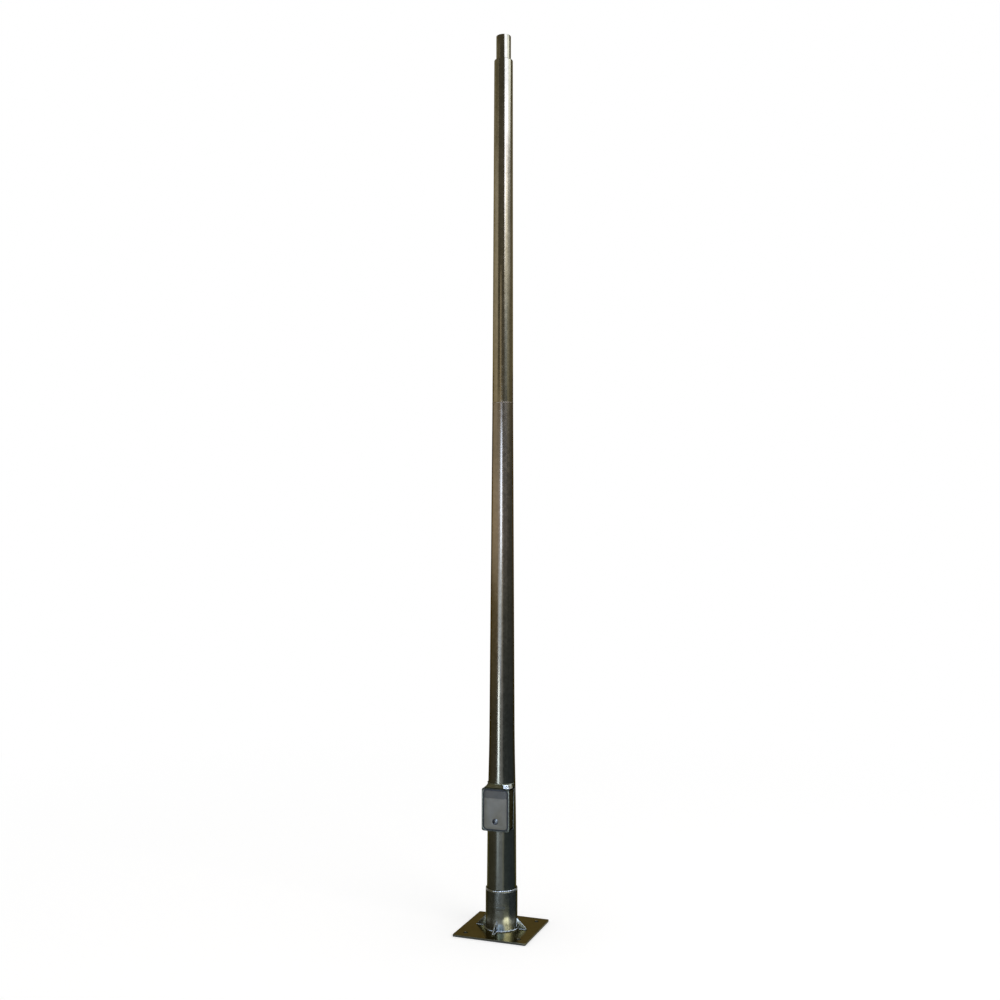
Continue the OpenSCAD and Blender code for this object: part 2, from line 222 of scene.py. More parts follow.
# Lower shaft: the same zinc, greyer at the joint and painted dark towards the foot, a painted
# reflection of the dark ground that the lower shaft mirrors
zinc_lower = galvanised_steel(
    "hot_dip_galvanised_lower_tube",
    [(0.0, "54564c"), (0.38, "5b5648"), (0.58, "6a5f4a"), (0.74, "7b6b54"),
     (1.0, "716552")],
    (COLLAR_TOP, JOINT_Z), (0.14, 0.22), 11, 0.2, 0.5, "a09a88")


def collar_place(turn, up):
    """A place on the collar: degrees from the door's side, and height over the plate."""
    a = math.radians(turn)
    return COLLAR_R * math.sin(a), -COLLAR_R * math.cos(a), PLATE_TOP + up


# Collar: thick-walled tube with a duller, darker zinc skin. Its foot is painted lighter, a
# painted reflection of the bright plate and floor, and three pale spots there, cream and
# bluish, are painted highlights
zinc_collar = galvanised_steel(
    "hot_dip_galvanised_collar",
    [(0.0, "7c7e76"), (0.2, "74766e"), (0.34, "50524a"), (1.0, "4b4d46")],
    (PLATE_TOP, COLLAR_TOP), (0.2, 0.32), 12, 0.2, 0.3, "a09a88",
    # Painted highlights on the collar's foot: cream and bluish reflections of the plate and
    # floor
    [(collar_place(40, 10 * MM), 27 * MM, "d0d0bc"),
     (collar_place(40, 38 * MM), 25 * MM, "b0b09c"),
     (collar_place(15, 12 * MM), 24 * MM, "98a8b6")])
# Base plate: rolled plate. Its top is painted olive brown, a painted reflection of the brown
# surroundings it mirrors, and its edges and underside are painted dark grey as painted shade
zinc_plate = galvanised_steel(
    "hot_dip_galvanised_rolled_plate",
    [(0.0, "3c4042"), (0.93, "44463c"), (0.99, "6a6148"), (1.0, "6c644b")],
    (0.0, PLATE_TOP), (0.13, 0.22), 14, 0.2, 0.25, "c8c4b4")
# Gussets: sawn and welded flat bar, lighter where the zinc ran thick
zinc_gusset = galvanised_steel(
    "hot_dip_galvanised_flat_bar", [(0.0, "7e8076"), (1.0, "7a7c72")],
    (PLATE_TOP, PLATE_TOP + 42 * MM), (0.16, 0.36), 8, 0.6, 0.6)
# Door frame: folded and welded sheet, mid grey zinc. Its foot is painted darker as painted
# shade, and a dark line at the rim's top is a painted shadow under the hood's lip
RIM_TOP = (RIM_HIGH.z - RIM_LOW.z) / (HOOD_HIGH.z - RIM_LOW.z)
zinc_frame = galvanised_steel(
    "hot_dip_galvanised_welded_frame",
    # Painted shade: the first stops darken the frame's foot
    [(0.0, "3e403a"), (0.05, "404239"), (0.08, "54564b"), (RIM_TOP - 0.05, "58594e"),
     # Painted shadow: the dark stops just under RIM_TOP, under the hood's lip
     (RIM_TOP - 0.035, "2a2b24"), (RIM_TOP, "2c2d24"), (RIM_TOP + 0.01, "6a6b58"),
     (1.0, "6c6c56")],
    (RIM_LOW.z, HOOD_HIGH.z), (0.22, 0.36), 8, 0.25, 0.3)


def bright_zinc(name, tone, rough):
    """Bright zinc, over weld beads or plated on fittings: pale and quick to glint."""
    material, tree, shader, place = new_material(name)
    shader.inputs["Metallic"].default_value = 1.0
    mottle = add(tree, "ShaderNodeTexNoise",
                 {"Scale": 1 / (2.5 * MM), "Detail": 4.0}, {"Vector": place})
    colour = add(tree, "ShaderNodeValToRGB", links={"Fac": mottle}, stops=tone)
    gloss = add(tree, "ShaderNodeMapRange", {"To Min": rough[0], "To Max": rough[1]},
                {"Value": mottle})
    bump = add(tree, "ShaderNodeBump", {"Strength": 0.3, "Distance": 0.15 * MM},
               {"Height": mottle})
    feed(tree, shader, {"Base Color": colour, "Roughness": gloss, "Normal": bump})
    return material


# Weld beads: zinc that lies thin and grey over a rippled bead
zinc_weld = bright_zinc("hot_dip_galvanised_weld_bead",
                        [(0.35, "66675f"), (0.7, "94968e")], (0.06, 0.16))
# Runs: pale zinc over real bead relief, painted near white as the highlight on the hood's
# shoulder
zinc_run_and_painted_highlight = bright_zinc("hot_dip_galvanised_zinc_run",
                       [(0.3, "b9bab0"), (0.7, "dcdcd2")], (0.1, 0.25))
# Fittings: plated bolts, hooks and rivets, duller than new
zinc_plated = bright_zinc("bright_zinc_plated_steel",
                          [(0.3, "50524f"), (0.7, "747673")], (0.12, 0.3))


def moulded(name, light, dark, grain_mm, rough, depth, band=None, shine=0.5):
    """Moulded plastic or rubber: even colour with a fine spark-eroded grain. band is
    a height above which the moulding is a shade darker, and shine is low where
    weather has dulled the skin."""
    material, tree, shader, place = new_material(name)
    shader.inputs["IOR"].default_value = 1.5
    shader.inputs["Specular IOR Level"].default_value = shine
    grain = add(tree, "ShaderNodeTexNoise",
                {"Scale": 1 / (grain_mm * MM), "Detail": 2.0, "Roughness": 0.6},
                {"Vector": place})
    cloud = add(tree, "ShaderNodeTexNoise", {"Scale": 28.0, "Detail": 4.0}, {"Vector": place})
    mixed = add(tree, "ShaderNodeMath", {"operation": "MULTIPLY_ADD", 1: 0.35},
                {0: grain, 2: cloud})
    colour = add(tree, "ShaderNodeValToRGB", links={"Fac": mixed},
                 stops=[(0.45, dark), (0.9, light)])
    if band:
        split = add(tree, "ShaderNodeSeparateXYZ", links={"Vector": place})
        shade = add(tree, "ShaderNodeMapRange",
                    {"From Min": band, "From Max": band + 1.5 * MM, "To Min": 1.0,
                     "To Max": 0.46}, {"Value": split.outputs["Z"]})
        colour = add(tree, "ShaderNodeVectorMath", {"operation": "SCALE"},
                     {0: colour, "Scale": shade})
    gloss = add(tree, "ShaderNodeMapRange",
                {"From Min": 0.3, "From Max": 0.7, "To Min": rough[0], "To Max": rough[1]},
                {"Value": cloud})
    bump = add(tree, "ShaderNodeBump", {"Strength": 0.5, "Distance": depth * MM},
               {"Height": grain})
    feed(tree, shader, {"Base Color": colour, "Roughness": gloss, "Normal": bump})
    return material


# Cover: compression-moulded polyester, dull mid grey with a fine grain
FIELD_TOP_Z = DOOR_Z + 45 * MM
polyester_cover = moulded("moulded_glass_polyester", "70716b", "5e6059", 1.6,
                          (0.42, 0.55), 0.08, FIELD_TOP_Z, 0.22)
# Lock cup: glossy black nylon
nylon_cup = moulded("injection_moulded_nylon", "26282b", "17181b", 1.2, (0.3, 0.4), 0.03)
# Seal: extruded EPDM rubber, matt blue-black
epdm_seal = moulded("extruded_epdm_rubber", "2a2e33", "1c2024", 0.9, (0.6, 0.75), 0.05)
# Label: plain brushed aluminium, dulled outdoors
label_sheet, tree, shader, place = new_material("brushed_aluminium_label")
shader.inputs["Metallic"].default_value = 1.0
fine = add(tree, "ShaderNodeMapping", {"Scale": (60, 60, 2600)}, {"Vector": place})
brush = add(tree, "ShaderNodeTexNoise", {"Scale": 1.0, "Detail": 3.0}, {"Vector": fine})
tone = add(tree, "ShaderNodeValToRGB", links={"Fac": brush},
           stops=[(0.3, "3f413a"), (0.7, "4a4c45")])
shader.inputs["Roughness"].default_value = 0.42
bump = add(tree, "ShaderNodeBump", {"Strength": 0.2, "Distance": 0.05 * MM}, {"Height": brush})
feed(tree, shader, {"Base Color": tone, "Normal": bump})


# ---------------------------------------------------------------- mesh helpers

def link(name, data):
    """Puts a mesh, curve, lamp or camera in the scene."""
    obj = bpy.data.objects.new(name, data)
    bpy.context.scene.collection.objects.link(obj)
    return obj


def applied(obj, modifiers):
    """Gives obj these modifiers in turn and turns the result into its mesh."""
    for kind, settings in modifiers:
        modifier = obj.modifiers.new(kind, kind)
        for key, value in settings.items():
            setattr(modifier, key, value)
    bpy.context.view_layer.update()
    graph = bpy.context.evaluated_depsgraph_get()
    mesh = bpy.data.meshes.new_from_object(obj.evaluated_get(graph))
    obj.modifiers.clear()
    if obj.type == "MESH":
        obj.data = mesh
        return obj
    made = link(obj.name + "_mesh", mesh)
    bpy.data.objects.remove(obj)
    return made


def cut(obj, cutter):
    """Cuts a solid away from obj."""
    applied(obj, [("BOOLEAN", {"operation": "DIFFERENCE", "object": cutter,
                               "solver": "EXACT"})])
    bpy.data.objects.remove(cutter)


def smooth(obj, angle=32):
    """Shades obj smooth, with edges sharper than angle kept."""
    for face in obj.data.polygons:
        face.use_smooth = True
    obj.data.set_sharp_from_angle(angle=math.radians(angle))
    return obj


def outward(mesh):
    """Merges doubles and points every face outwards."""
    work = bmesh.new()
    work.from_mesh(mesh)
    bmesh.ops.remove_doubles(work, verts=work.verts, dist=0.002 * MM)
    bmesh.ops.recalc_face_normals(work, faces=work.faces)
    work.to_mesh(mesh)
    work.free()


def skin(name, loops, ring=False):
    """A closed mesh through loops of points that all have the same count. A ring
    joins its last loop to its first; otherwise both ends get a cap."""
    count = len(loops[0])
    points = [p for loop in loops for p in loop]
    faces = []
    pairs = len(loops) if ring else len(loops) - 1
    for i in range(pairs):
        a, b = i * count, (i + 1) % len(loops) * count
        for j in range(count):
            k = (j + 1) % count
            faces.append((a + j, a + k, b + k, b + j))
    if not ring:
        faces.append(tuple(range(count))[::-1])
        faces.append(tuple((len(loops) - 1) * count + j for j in range(count)))
    mesh = bpy.data.meshes.new(name)
    mesh.from_pydata(points, [], faces)
    outward(mesh)
    return link(name, mesh)


def circle(r, z, count=96):
    """Points round the column's axis."""
    return [(r * math.cos(TAU * i / count), r * math.sin(TAU * i / count), z)
            for i in range(count)]


def lathe(name, profile):
    """Turns a closed (radius, height) profile round Z into a closed ring."""
    return skin(name, [circle(r, z, SIDES) for r, z in profile], ring=True)


def ring_section(inner, outer, low, high, ease, steps):
    """A ring's (radius, height) section: a rectangle whose corners are rounded by
    ease, one value each, from its inside at the foot round to its inside on top."""
    corners = [Vector(p) for p in ((inner, low), (outer, low), (outer, high), (inner, high))]
    section = []
    for i, (p, size) in enumerate(zip(corners, ease)):
        start = p + (corners[i - 1] - p).normalized() * size
        end = p + (corners[(i + 1) % 4] - p).normalized() * size
        for t in [s / steps for s in range(steps + 1)] if size else [0]:
            q = start * (1 - t) ** 2 + p * 2 * t * (1 - t) + end * t * t
            section.append((q.x, q.y))
    return section


def upright(size, radii, y, less=0.0, mid=0.0):
    """A rectangle's outline in the door's plane, run round from its lower right corner
    at depth y, which may be a rule. radii are one radius or (lower, upper) ones, less
    is taken off both sides of size, and mid is how far it stands over the door's
    middle."""
    w, h = size[0] - less, size[1] - less
    lower, upper = radii if isinstance(radii, tuple) else (radii, radii)
    ends = []
    for sx, sz, r, begin in ((1, -1, lower, -90), (1, 1, upper, 0), (-1, 1, upper, 90),
                             (-1, -1, lower, 180)):
        cx, cz = sx * (w / 2 - r), mid + sz * (h / 2 - r)
        turns = [math.radians(begin + 90 * i / ARC_STEPS) for i in range(ARC_STEPS + 1)]
        ends.append([(cx + r * math.cos(a), cz + r * math.sin(a)) for a in turns])
    points = []
    for n, corner in enumerate(ends):
        points += corner
        (x0, z0), (x1, z1) = corner[-1], ends[(n + 1) % 4][0]
        points += [(x0 + (x1 - x0) * i / SIDE_STEPS, z0 + (z1 - z0) * i / SIDE_STEPS)
                   for i in range(1, SIDE_STEPS)]
    return [(x, y(x, DOOR_Z + z) if callable(y) else y, DOOR_Z + z) for x, z in points]


def softened(name, node, width, angle=35):
    """A copy of a CAD part with its edges broken, as a real part's edges are."""
    work = bmesh.new()
    work.from_mesh(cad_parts[node].data)
    bmesh.ops.remove_doubles(work, verts=work.verts, dist=0.002 * MM)
    bmesh.ops.dissolve_limit(work, angle_limit=math.radians(1.0), verts=work.verts,
                             edges=work.edges)
    mesh = bpy.data.meshes.new(name)
    work.to_mesh(mesh)
    work.free()
    obj = link(name, mesh)
    return applied(obj, [("BEVEL", {
        "width": width, "segments": 2, "limit_method": "ANGLE",
        "angle_limit": math.radians(angle)})])


def dress(obj, material, body, slot, *nodes):
    """Gives a finished piece its material and body and hides the CAD parts it stands for. slot
    is not used.
    """
    obj.data.materials.clear()
    obj.data.materials.append(material)
    for face in obj.data.polygons:
        face.material_index = 0
    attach(obj, body)
    if nodes:
        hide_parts(*nodes)
    return obj


def new_tree(name, inputs):
    """A geometry-nodes tree and its inputs, from (name, kind, first value) rows."""
    tree = bpy.data.node_groups.new(name, "GeometryNodeTree")
    face = tree.interface
    face.new_socket("Geometry", in_out="OUTPUT", socket_type="NodeSocketGeometry")
    for label, kind, value in (*inputs, ("Material", "Material", None)):
        socket = face.new_socket(label, in_out="INPUT", socket_type="NodeSocket" + kind)
        if value is not None:
            socket.default_value = value
    return tree, add(tree, "NodeGroupInput").outputs


def end_tree(tree, shape, material):
    """Ends a tree: its instances are made real and get the material."""
    real = add(tree, "GeometryNodeRealizeInstances", links={"Geometry": shape})
    painted = add(tree, "GeometryNodeSetMaterial",
                  links={"Geometry": real, "Material": material})
    add(tree, "NodeGroupOutput", links={0: painted})
    return tree


# ---------------------------------------------------------------- shafts

def tube_tree():
    """Geometry nodes for a round tube that tapers and swells: a unit cylinder whose
    rings are pushed to the radius that the rule gives for their height."""
    tree, size = new_tree("tapered_swelling_tube", (
        ("Sides", "Int", SIDES), ("Rings", "Int", 60),
        ("Foot Height", "Float", 0.0), ("Top Height", "Float", 1.0),
        ("Foot Radius", "Float", 0.05), ("Top Radius", "Float", 0.04),
        ("Straight Below", "Float", 0.0), ("Swell", "Float", 0.0),
        ("Swell Low", "Float", 0.0), ("Swell Top", "Float", 1.0)))
    length = add(tree, "ShaderNodeMath", {"operation": "SUBTRACT"},
                 {0: size["Top Height"], 1: size["Foot Height"]})
    tube = add(tree, "GeometryNodeMeshCylinder", {"fill_type": "NONE", "Radius": 1.0},
               {"Vertices": size["Sides"], "Side Segments": size["Rings"], "Depth": length})
    at = add(tree, "ShaderNodeSeparateXYZ",
             links={"Vector": add(tree, "GeometryNodeInputPosition")})
    middle = add(tree, "ShaderNodeMath", {"operation": "MULTIPLY_ADD", 1: 0.5},
                 {0: length, 2: size["Foot Height"]})
    z = add(tree, "ShaderNodeMath", {"operation": "ADD"}, {0: at.outputs["Z"], 1: middle})
    held = add(tree, "ShaderNodeMath", {"operation": "MAXIMUM"},
               {0: z, 1: size["Straight Below"]})
    cone = add(tree, "ShaderNodeMapRange", {"clamp": False},
               {"Value": held, "From Min": size["Straight Below"],
                "From Max": size["Top Height"], "To Min": size["Foot Radius"],
                "To Max": size["Top Radius"]})
    share = add(tree, "ShaderNodeMapRange", {"To Max": math.pi},
                {"Value": held, "From Min": size["Swell Low"], "From Max": size["Swell Top"]})
    wave = add(tree, "ShaderNodeMath", {"operation": "COSINE"}, {0: share})
    half = add(tree, "ShaderNodeMath", {"operation": "MULTIPLY_ADD", 1: 0.5, 2: 0.5}, {0: wave})
    radius = add(tree, "ShaderNodeMath", {"operation": "MULTIPLY_ADD"},
                 {0: half, 1: size["Swell"], 2: cone})
    x = add(tree, "ShaderNodeMath", {"operation": "MULTIPLY"}, {0: at.outputs["X"], 1: radius})
    y = add(tree, "ShaderNodeMath", {"operation": "MULTIPLY"}, {0: at.outputs["Y"], 1: radius})
    spot = add(tree, "ShaderNodeCombineXYZ", links={"X": x, "Y": y, "Z": z})
    moved = add(tree, "GeometryNodeSetPosition", links={"Geometry": tube, "Position": spot})
    return end_tree(tree, moved, size["Material"])


def grown(name, tree, values, base=None):
    """Runs a geometry-nodes tree with these input values and keeps its mesh."""
    obj = base or link(name, bpy.data.meshes.new(name))
    modifier = obj.modifiers.new(tree.name, "NODES")
    modifier.node_group = tree
    for socket in tree.interface.items_tree:
        if socket.in_out == "INPUT" and socket.name in values:
            modifier[socket.identifier] = values[socket.name]
    made = applied(obj, [])
    outward(made.data)
    return made


SHAFT_TUBE = tube_tree()
WALL = [("SOLIDIFY", {"thickness": SHAFT_WALL, "use_even_offset": True})]

lower = grown("lower_shaft_tube", SHAFT_TUBE, {
    "Sides": SIDES, "Rings": 150, "Foot Height": PLATE_TOP, "Top Height": JOINT_Z,
    "Foot Radius": cone_r(COLLAR_TOP), "Top Radius": JOINT_R, "Straight Below": COLLAR_TOP,
    "Swell": SWELL, "Swell Low": SWELL_LOW, "Swell Top": SWELL_TOP,
    "Material": zinc_lower})
applied(lower, WALL)

# The doorway is cut through the wall behind the frame
cut(lower, skin("doorway_cutter", [upright((92 * MM, 158 * MM), 9 * MM, y)
                                   for y in (-80 * MM, 0.0)]))
smooth(lower)
dress(lower, zinc_lower, "column", "galvanised_steel", "lower_shaft")

upper = grown("upper_shaft_tube", SHAFT_TUBE, {
    "Sides": SIDES, "Rings": 90, "Foot Height": JOINT_Z, "Top Height": RING_Z,
    "Foot Radius": JOINT_R, "Top Radius": SHOULDER_R, "Straight Below": JOINT_Z,
    "Material": zinc_upper})
applied(upper, WALL)
smooth(upper)
dress(upper, zinc_upper, "column", "galvanised_steel", "upper_shaft")

spigot_bore_r = SPIGOT_R - SPIGOT_WALL
ring = lathe("shoulder_ring", ring_section(spigot_bore_r, SHOULDER_R, RING_Z, SHOULDER_Z,
                                           [0, 0, 2.6 * MM, 0], 6))
smooth(ring, 50)
dress(ring, zinc_upper, "column", "galvanised_steel", "top_ring")

spigot = lathe("lantern_spigot", ring_section(
    spigot_bore_r, SPIGOT_R, SHOULDER_Z, SPIGOT_TOP, [0, 0, 1.2 * MM, 0.8 * MM], 4))
smooth(spigot, 50)
dress(spigot, zinc_upper, "column", "galvanised_steel", "spigot")


# ---------------------------------------------------------------- base

plate = softened("base_plate_drilled", "base_plate", 0.35 * MM)
smooth(plate, 12)
dress(plate, zinc_plate, "column", "galvanised_steel", "base_plate")

collar = lathe("base_collar_tube", ring_section(
    COLLAR_R - COLLAR_WALL, COLLAR_R, PLATE_TOP, COLLAR_TOP, [0, 0, 1.2 * MM, 0.4 * MM], 4))
smooth(collar, 50)
dress(collar, zinc_collar, "column", "galvanised_steel", "base_collar")

for side in ("front", "right", "back", "left"):
    gusset = softened("gusset_plate_" + side, "gusset_" + side, 0.8 * MM)
    smooth(gusset)
    dress(gusset, zinc_gusset, "column", "galvanised_steel", "gusset_" + side)


def weld_tree():
    """Geometry nodes for weld beads: each path is walked in small steps and swept
    with a bead whose size swells and sinks once a ripple, a little unevenly."""
    tree, size = new_tree("weld_bead_along_paths", (
        ("Paths", "Geometry", None), ("Bead Radius", "Float", 3 * MM),
        ("Ripple", "Float", 3 * MM), ("Depth", "Float", 0.12),
        ("Unevenness", "Float", 0.25), ("Stretch", "Float", 1.0), ("Sides", "Int", 10)))
    step = add(tree, "ShaderNodeMath", {"operation": "DIVIDE", 1: 6.0}, {0: size["Ripple"]})
    path = add(tree, "GeometryNodeResampleCurve", {"mode": "LENGTH"},
               {"Curve": size["Paths"], "Length": step})
    along = add(tree, "GeometryNodeSplineParameter").outputs["Length"]
    turn = add(tree, "ShaderNodeMath", {"operation": "DIVIDE"}, {0: along, 1: size["Ripple"]})
    turn = add(tree, "ShaderNodeMath", {"operation": "MULTIPLY", 1: TAU}, {0: turn})
    wave = add(tree, "ShaderNodeMath", {"operation": "SINE"}, {0: turn})
    noise = add(tree, "ShaderNodeTexNoise", {"Scale": 1 / (9 * MM), "Detail": 2.0},
                {"Vector": add(tree, "GeometryNodeInputPosition")})
    drift = add(tree, "ShaderNodeMath", {"operation": "SUBTRACT", 1: 0.5}, {0: noise})
    drift = add(tree, "ShaderNodeMath", {"operation": "MULTIPLY_ADD", 2: 1.0},
                {0: drift, 1: size["Unevenness"]})
    bead = add(tree, "ShaderNodeMath", {"operation": "MULTIPLY_ADD"},
               {0: wave, 1: size["Depth"], 2: drift})
    bead = add(tree, "ShaderNodeMath", {"operation": "MULTIPLY"},
               {0: bead, 1: size["Bead Radius"]})
    section = add(tree, "GeometryNodeCurvePrimitiveCircle", {"Radius": 1.0},
                  {"Resolution": size["Sides"]})
    tall = add(tree, "ShaderNodeCombineXYZ", {"X": 1.0, "Z": 1.0}, {"Y": size["Stretch"]})
    section = add(tree, "GeometryNodeTransform", links={"Geometry": section, "Scale": tall})
    shaped = add(tree, "GeometryNodeCurveToMesh", {"Fill Caps": True},
                 {"Curve": path, "Profile Curve": section, "Scale": bead})
    flowing = add(tree, "GeometryNodeSetShadeSmooth", links={0: shaped})
    return end_tree(tree, flowing, size["Material"])


WELD = weld_tree()


def weld(name, paths, radius, ripple=3.2 * MM, stretch=1.0, closed=False):
    """Weld beads along paths of points, as one mesh."""
    curve = bpy.data.curves.new(name, "CURVE")
    curve.dimensions = "3D"
    curve.twist_mode = "Z_UP"
    for points in paths:
        spline = curve.splines.new("POLY")
        spline.points.add(len(points) - 1)
        for knot, p in zip(spline.points, points):
            knot.co = (*p, 1)
        spline.use_cyclic_u = closed
    base = link(name, curve)
    bead = grown(name, WELD, {"Bead Radius": radius, "Ripple": ripple,
                              "Stretch": stretch, "Sides": 12, "Material": zinc_weld},
                 base)
    smooth(bead, 60)
    bead.name = name
    return bead


def turned(points, quarter):
    """Points turned round the column by quarter turns."""
    c, s = ((1, 0), (0, 1), (-1, 0), (0, -1))[quarter]
    return [(x * c - y * s, x * s + y * c, z) for x, y, z in points]


crown = weld("collar_top_bead", [circle(COLLAR_R - 2.6 * MM, COLLAR_TOP + 3.0 * MM)],
             2.7 * MM, ripple=7 * MM, stretch=1.9, closed=True)
dress(crown, zinc_weld, "column", "weld_steel", "collar_weld")

foot = weld("collar_foot_bead", [circle(COLLAR_R + 1.6 * MM, PLATE_TOP + 1.6 * MM)],
            3.4 * MM, closed=True)
dress(foot, zinc_weld, "column", "weld_steel", "plate_weld")

# Two beads up the collar and two along the plate for each gusset
GUSSET_END, GUSSET_HALF, GUSSET_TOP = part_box("gusset_right")[1]
runs = []
for quarter in range(4):
    for y in (-GUSSET_HALF - 0.8 * MM, GUSSET_HALF + 0.8 * MM):
        rise = [(COLLAR_R + 0.6 * MM, y, z) for z in
                (PLATE_TOP + 10 * MM, GUSSET_TOP - 18 * MM, GUSSET_TOP - 2 * MM)]
        toe = [(x, y, PLATE_TOP + 0.8 * MM) for x in
               (COLLAR_R + 10 * MM, COLLAR_R + 24 * MM, GUSSET_END - 1 * MM)]
        runs += [turned(rise, quarter), turned(toe, quarter)]
beads = weld("gusset_beads", runs, 2.3 * MM, ripple=2.8 * MM)
dress(beads, zinc_weld, "column", "weld_steel")

# Butt joint of the two shafts: one thin bead, ground nearly flush
joint = weld("shaft_joint_bead", [circle(JOINT_R - 0.9 * MM, JOINT_Z, 128)],
             1.3 * MM, ripple=2.4 * MM, stretch=1.6, closed=True)
dress(joint, zinc_lower, "column", "galvanised_steel")


# ---------------------------------------------------------------- label

LABEL_LOW, LABEL_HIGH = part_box("label_blank")
LABEL_W, LABEL_T, LABEL_TURN, LABEL_STEPS = 36 * MM, 0.8 * MM, 16, 28
label_r = COLLAR_R + 0.1 * MM
section = ring_section(label_r, label_r + LABEL_T, LABEL_LOW.z, LABEL_HIGH.z,
                       [0, 0.3 * MM, 0.3 * MM, 0], 2)
loops = []
for i in range(LABEL_STEPS + 1):
    a = math.radians(LABEL_TURN - 90) + LABEL_W / label_r * (i / LABEL_STEPS - 0.5)
    loops.append([(r * math.cos(a), r * math.sin(a), z) for r, z in section])
label = skin("collar_label_sheet", loops)
smooth(label, 40)
dress(label, label_sheet, "column", "label_metal", "label_blank")


def stud_tree():
    """Geometry nodes that set a flattened round head on each point, along its normal."""
    tree, size = new_tree("rivet_heads_on_points", (
        ("Points", "Geometry", None), ("Head Radius", "Float", 1.5 * MM),
        ("Flatness", "Float", 0.45)))
    head = add(tree, "GeometryNodeMeshUVSphere", {"Segments": 16, "Rings": 8},
               {"Radius": size["Head Radius"]})
    flat = add(tree, "ShaderNodeCombineXYZ", {"X": 1.0, "Y": 1.0}, {"Z": size["Flatness"]})
    head = add(tree, "GeometryNodeTransform", links={"Geometry": head, "Scale": flat})
    spot = add(tree, "GeometryNodeInputPosition")
    level = add(tree, "ShaderNodeVectorMath", {"operation": "MULTIPLY", 1: (1, 1, 0)},
                {0: spot})
    aim = add(tree, "FunctionNodeAlignEulerToVector", {"axis": "Z"}, {"Vector": level})
    set_on = add(tree, "GeometryNodeInstanceOnPoints",
                 links={"Points": size["Points"], "Instance": head, "Rotation": aim})
    return end_tree(tree, set_on, size["Material"])


# One rivet at each end of the label
RIVET_REACH, rivet_z = 15.2 * MM, (LABEL_LOW.z + LABEL_HIGH.z) / 2
turns = [math.radians(LABEL_TURN - 90) + end * RIVET_REACH / COLLAR_R for end in (-1, 1)]
r = label_r + LABEL_T
ends = bpy.data.meshes.new("rivet_points")
ends.from_pydata([(r * math.cos(a), r * math.sin(a), rivet_z) for a in turns], [], [])
rivets = grown("label_rivets", stud_tree(),
               {"Head Radius": 1.3 * MM, "Flatness": 0.5, "Material": zinc_plated},
               link("label_rivets", ends))
smooth(rivets, 60)
dress(rivets, zinc_plated, "column", "zinc_steel")


# ---------------------------------------------------------------- door frame

# Width and height of the rim's opening, rim, box behind it and landing plate's opening
OPEN, OPEN_R = (104 * MM, 160 * MM), 17 * MM
RIM, RIM_R = (116 * MM, 168 * MM), 9 * MM
BOX = (108 * MM, 164 * MM)
LAND, LAND_R = (88 * MM, 144 * MM), 9 * MM
FRAME_WALL, HOOD_T = 3 * MM, 3 * MM
LID_Z = DOOR_Z + BOX[1] / 2


def to_shaft(x, z):
    """Depth at which a frame wall meets the shaft, just below its surface; the
    frame has no wall on top, where the hood starts."""
    if z > DOOR_Z + 60 * MM and abs(x) < BOX[0] / 2 - FRAME_WALL - 0.6 * MM:
        return LANDING_BACK
    return -math.sqrt(max(shaft_r(z) ** 2 - x * x, 0)) + 1.2 * MM


def rim_curve(size, radius, edge, y, sign, steps=4):
    """Outlines that round a rim's front edge over edge, from its face to its side."""
    curve = []
    for i in range(steps + 1):
        a = math.pi / 2 * i / steps
        inset = edge * (1 - math.sin(a)) * sign
        curve.append(upright(size, max(radius - inset, 0.3 * MM),
                             y + edge * (1 - math.cos(a)), less=2 * inset))
    return curve


inner = (BOX[0] - 2 * FRAME_WALL, BOX[1] - 2 * FRAME_WALL)
loops = rim_curve(RIM, RIM_R, 1.6 * MM, RIM_FRONT, 1)
loops += [upright(RIM, RIM_R, RIM_BACK - 0.4 * MM),
          upright(RIM, RIM_R - 0.4 * MM, RIM_BACK, less=0.8 * MM),
          upright(BOX, (4 * MM, 1 * MM), RIM_BACK),
          upright(BOX, (4 * MM, 1 * MM), to_shaft),
          upright(inner, (1.5 * MM, 0.5 * MM), to_shaft),
          upright(inner, (1.5 * MM, 0.5 * MM), LANDING_BACK),
          upright(LAND, LAND_R, LANDING_BACK),
          upright(LAND, LAND_R, RIM_BACK),
          upright(OPEN, OPEN_R, RIM_BACK)]
loops += rim_curve(OPEN, OPEN_R, 0.8 * MM, RIM_FRONT, -1, 3)[::-1]
door_frame = skin("door_frame_welded", loops, ring=True)
smooth(door_frame, 38)
dress(door_frame, zinc_frame, "column", "galvanised_steel",
      "frame_left", "frame_right", "frame_head", "frame_sill")

# Hood: folded sheet from the frame's top edge up to the shaft
hood_r = shaft_r(HOOD_HIGH.z)
HALF_W, FOLD_R = BOX[0] / 2, 5 * MM
SIDE_Y, FRONT_Y = -15 * MM, HOOD_LOW.y
# Its outline at the foot: along the left side, round the fold, then to the middle
left_half = [(-HALF_W, SIDE_Y + (FRONT_Y + FOLD_R - SIDE_Y) * i / 9) for i in range(10)]
left_half += [(-HALF_W + FOLD_R * (1 - math.cos(a)), FRONT_Y + FOLD_R * (1 - math.sin(a)))
              for a in (math.pi / 2 * i / 6 for i in range(1, 7))]
left_half += [((HALF_W - FOLD_R) * (i / 6 - 1), FRONT_Y) for i in range(1, 7)]
HOOD_FOOT = left_half + [(-x, y) for x, y in left_half[-2::-1]]


